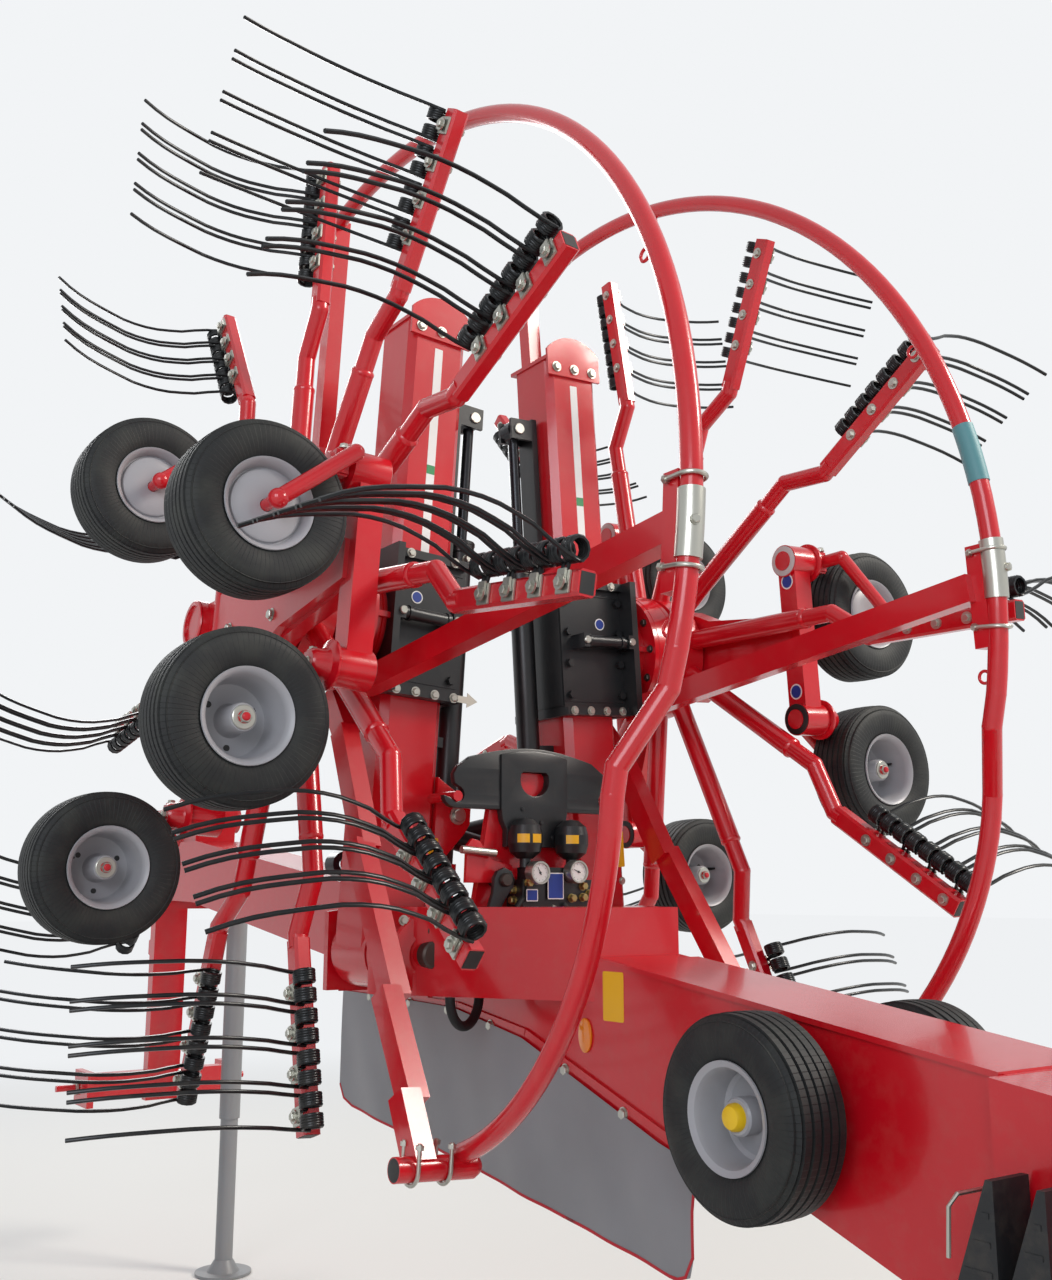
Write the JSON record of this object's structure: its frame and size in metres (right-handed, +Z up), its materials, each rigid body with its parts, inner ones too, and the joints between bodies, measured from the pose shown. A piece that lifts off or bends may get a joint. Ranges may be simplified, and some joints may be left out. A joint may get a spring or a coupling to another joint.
{
  "type": "rotary hay rake",
  "caption": "Trailed rotary hay rake with tined rotors folded upright beside a central box beam, guard hoops, caster wheels, swath curtain, road axle and hitch headstock.",
  "frame": {"origin": "on the ground midway between the fold pivots, below the centre of the machine's length", "axes": "+Z up, +Y towards the hitch along the main beam, +X to the right looking towards the hitch"},
  "size_m": [2.6864, 5.72, 3.8904],
  "materials": {
    "red_paint": "gloss",
    "black_paint": "satin",
    "grey_paint": "satin",
    "chrome_rod": "polished",
    "tine_steel": "worn",
    "tyre_rubber": "matte",
    "hose_rubber": "matte",
    "curtain_cloth": "matte",
    "chock_plastic": "matte"
  },
  "bodies": {
    "frame": {"main_beam": "red_paint", "pivot_head": "red_paint", "lift_pins": "red_paint", "lock_plate": "black_paint", "hydraulic_block": "grey_paint", "accumulators": "black_paint", "curtain_rail": "red_paint", "curtain": "curtain_cloth", "transport_axle": "red_paint", "chock_holder": "chock_plastic", "beam_stub_axles": "red_paint", "input_gearbox": "red_paint", "hose_loop": "hose_rubber", "jack_tube": "grey_paint"},
    "headstock": {"headstock": "red_paint"},
    "jack_leg": {"jack_foot": "grey_paint"},
    "axle_wheel_left": {"axle_wheel_left": "tyre_rubber"},
    "beam_wheel_left": {"beam_wheel_left": "tyre_rubber"},
    "arm_left": {"fold_arm_left": "red_paint", "lift_lug_left": "red_paint", "slide_barrel_left": "black_paint"},
    "carriage_left": {"carriage_left": "black_paint", "slide_rod_left": "chrome_rod", "gear_housing_left": "red_paint", "rotor_chassis_left": "red_paint", "guard_hoop_left": "red_paint"},
    "lift_barrel_left": {"lift_barrel_left": "black_paint"},
    "lift_rod_left": {"lift_rod_left": "chrome_rod"},
    "rotor_left": {"rotor_arms_left": "red_paint", "rotor_tines_left": "tine_steel"},
    "caster_left_1": {"caster_left_1": "red_paint"},
    "wheel_left_1": {"wheel_left_1": "tyre_rubber"},
    "caster_left_2": {"caster_left_2": "red_paint"},
    "wheel_left_2": {"wheel_left_2": "tyre_rubber"},
    "caster_left_3": {"caster_left_3": "red_paint"},
    "wheel_left_3": {"wheel_left_3": "tyre_rubber"},
    "caster_left_4": {"caster_left_4": "red_paint"},
    "wheel_left_4": {"wheel_left_4": "tyre_rubber"},
    "axle_wheel_right": {"axle_wheel_right": "tyre_rubber"},
    "beam_wheel_right": {"beam_wheel_right": "tyre_rubber"},
    "arm_right": {"fold_arm_right": "red_paint", "lift_lug_right": "red_paint", "slide_barrel_right": "black_paint"},
    "carriage_right": {"carriage_right": "black_paint", "slide_rod_right": "chrome_rod", "gear_housing_right": "red_paint", "rotor_chassis_right": "red_paint", "guard_hoop_right": "red_paint"},
    "lift_barrel_right": {"lift_barrel_right": "black_paint"},
    "lift_rod_right": {"lift_rod_right": "chrome_rod"},
    "rotor_right": {"rotor_arms_right": "red_paint", "rotor_tines_right": "tine_steel"},
    "caster_right_1": {"caster_right_1": "red_paint"},
    "wheel_right_1": {"wheel_right_1": "tyre_rubber"},
    "caster_right_2": {"caster_right_2": "red_paint"},
    "wheel_right_2": {"wheel_right_2": "tyre_rubber"},
    "caster_right_3": {"caster_right_3": "red_paint"},
    "wheel_right_3": {"wheel_right_3": "tyre_rubber"},
    "caster_right_4": {"caster_right_4": "red_paint"},
    "wheel_right_4": {"wheel_right_4": "tyre_rubber"}
  },
  "joints": [
    {"name": "headstock_swivel", "type": "hinge", "parent": "frame", "child": "headstock", "pos_m": [0, 2.575, 1.7], "axis": [0, 0, 1], "range_deg": [-25, 25]},
    {"name": "jack_lift", "type": "slide", "parent": "frame", "child": "jack_leg", "axis": [0, 0, 1], "range_m": [0, 0.35]},
    {"name": "axle_wheel_left_roll", "type": "hinge", "parent": "frame", "child": "axle_wheel_left", "pos_m": [-0.88, -2.48, 0.38], "axis": [1, 0, 0], "continuous": true},
    {"name": "beam_wheel_left_roll", "type": "hinge", "parent": "frame", "child": "beam_wheel_left", "pos_m": [-0.262, -1.356, 1.172], "axis": [1, 0, 0], "continuous": true},
    {"name": "fold_left", "type": "hinge", "parent": "frame", "child": "arm_left", "pos_m": [-0.37, 0, 1.45], "axis": [0, -1, 0], "range_deg": [0, 98]},
    {"name": "extend_left", "type": "slide", "parent": "arm_left", "child": "carriage_left", "axis": [0.061, 0, 0.9981], "range_m": [0, 0.67]},
    {"name": "lift_barrel_left_turn", "type": "hinge", "parent": "frame", "child": "lift_barrel_left", "pos_m": [0.3, 0.285, 1.85], "axis": [0, -1, 0], "range_deg": [0, 12]},
    {"name": "lift_rod_left_slide", "type": "slide", "parent": "lift_barrel_left", "child": "lift_rod_left", "axis": [-0.9746, 0, -0.224], "range_m": [0, 0.345]},
    {"name": "rotor_left_spin", "type": "hinge", "parent": "carriage_left", "child": "rotor_left", "pos_m": [-0.67255, 0, 2.40024], "axis": [-0.9981, 0, 0.061], "continuous": true},
    {"name": "caster_left_1_swivel", "type": "hinge", "parent": "carriage_left", "child": "caster_left_1", "pos_m": [-0.73186, 0.27, 2.90481], "axis": [-0.9981, 0, 0.061], "range_deg": [-95, 95]},
    {"name": "wheel_left_1_roll", "type": "hinge", "parent": "caster_left_1", "child": "wheel_left_1", "pos_m": [-1.02111, 0.27, 2.7622], "axis": [0, 1, 0], "continuous": true},
    {"name": "caster_left_2_swivel", "type": "hinge", "parent": "carriage_left", "child": "caster_left_2", "pos_m": [-0.74865, -0.585, 2.63032], "axis": [-0.9981, 0, 0.061], "range_deg": [-95, 95]},
    {"name": "wheel_left_2_roll", "type": "hinge", "parent": "caster_left_2", "child": "wheel_left_2", "pos_m": [-1.0379, -0.585, 2.48771], "axis": [0, 1, 0], "continuous": true},
    {"name": "caster_left_3_swivel", "type": "hinge", "parent": "carriage_left", "child": "caster_left_3", "pos_m": [-0.77887, -0.585, 2.13624], "axis": [-0.9981, 0, 0.061], "range_deg": [-95, 95]},
    {"name": "wheel_left_3_roll", "type": "hinge", "parent": "caster_left_3", "child": "wheel_left_3", "pos_m": [-1.06811, -0.585, 1.99363], "axis": [0, 1, 0], "continuous": true},
    {"name": "caster_left_4_swivel", "type": "hinge", "parent": "carriage_left", "child": "caster_left_4", "pos_m": [-0.7981, 0.27, 1.82183], "axis": [-0.9981, 0, 0.061], "range_deg": [-95, 95]},
    {"name": "wheel_left_4_roll", "type": "hinge", "parent": "caster_left_4", "child": "wheel_left_4", "pos_m": [-1.08734, 0.27, 1.67922], "axis": [0, 1, 0], "continuous": true},
    {"name": "axle_wheel_right_roll", "type": "hinge", "parent": "frame", "child": "axle_wheel_right", "pos_m": [0.88, -2.48, 0.38], "axis": [1, 0, 0], "continuous": true},
    {"name": "beam_wheel_right_roll", "type": "hinge", "parent": "frame", "child": "beam_wheel_right", "pos_m": [0.262, -1.356, 1.172], "axis": [1, 0, 0], "continuous": true},
    {"name": "fold_right", "type": "hinge", "parent": "frame", "child": "arm_right", "pos_m": [0.37, 0, 1.45], "axis": [0, 1, 0], "range_deg": [0, 98]},
    {"name": "extend_right", "type": "slide", "parent": "arm_right", "child": "carriage_right", "axis": [-0.061, 0, 0.9981], "range_m": [0, 0.67]},
    {"name": "lift_barrel_right_turn", "type": "hinge", "parent": "frame", "child": "lift_barrel_right", "pos_m": [-0.3, 0.195, 1.85], "axis": [0, 1, 0], "range_deg": [0, 12]},
    {"name": "lift_rod_right_slide", "type": "slide", "parent": "lift_barrel_right", "child": "lift_rod_right", "axis": [0.9746, 0, -0.224], "range_m": [0, 0.345]},
    {"name": "rotor_right_spin", "type": "hinge", "parent": "carriage_right", "child": "rotor_right", "pos_m": [0.67255, 0, 2.40024], "axis": [0.9981, 0, 0.061], "continuous": true},
    {"name": "caster_right_1_swivel", "type": "hinge", "parent": "carriage_right", "child": "caster_right_1", "pos_m": [0.73186, 0.27, 2.90481], "axis": [0.9981, 0, 0.061], "range_deg": [-95, 95]},
    {"name": "wheel_right_1_roll", "type": "hinge", "parent": "caster_right_1", "child": "wheel_right_1", "pos_m": [1.02111, 0.27, 2.7622], "axis": [0, 1, 0], "continuous": true},
    {"name": "caster_right_2_swivel", "type": "hinge", "parent": "carriage_right", "child": "caster_right_2", "pos_m": [0.74865, -0.585, 2.63032], "axis": [0.9981, 0, 0.061], "range_deg": [-95, 95]},
    {"name": "wheel_right_2_roll", "type": "hinge", "parent": "caster_right_2", "child": "wheel_right_2", "pos_m": [1.0379, -0.585, 2.48771], "axis": [0, 1, 0], "continuous": true},
    {"name": "caster_right_3_swivel", "type": "hinge", "parent": "carriage_right", "child": "caster_right_3", "pos_m": [0.77887, -0.585, 2.13624], "axis": [0.9981, 0, 0.061], "range_deg": [-95, 95]},
    {"name": "wheel_right_3_roll", "type": "hinge", "parent": "caster_right_3", "child": "wheel_right_3", "pos_m": [1.06811, -0.585, 1.99363], "axis": [0, 1, 0], "continuous": true},
    {"name": "caster_right_4_swivel", "type": "hinge", "parent": "carriage_right", "child": "caster_right_4", "pos_m": [0.7981, 0.27, 1.82183], "axis": [0.9981, 0, 0.061], "range_deg": [-95, 95]},
    {"name": "wheel_right_4_roll", "type": "hinge", "parent": "caster_right_4", "child": "wheel_right_4", "pos_m": [1.08734, 0.27, 1.67922], "axis": [0, 1, 0], "continuous": true}
  ],
  "couplings": [
    {"joint": "extend_left", "follows": "fold_left", "m_per_rad": 0.3917},
    {"joint": "lift_barrel_left_turn", "follows": "fold_left", "ratio": 0.118},
    {"joint": "lift_rod_left_slide", "follows": "fold_left", "m_per_rad": 0.198},
    {"joint": "extend_right", "follows": "fold_right", "m_per_rad": 0.3917},
    {"joint": "lift_barrel_right_turn", "follows": "fold_right", "ratio": 0.118},
    {"joint": "lift_rod_right_slide", "follows": "fold_right", "m_per_rad": 0.198}
  ]
}
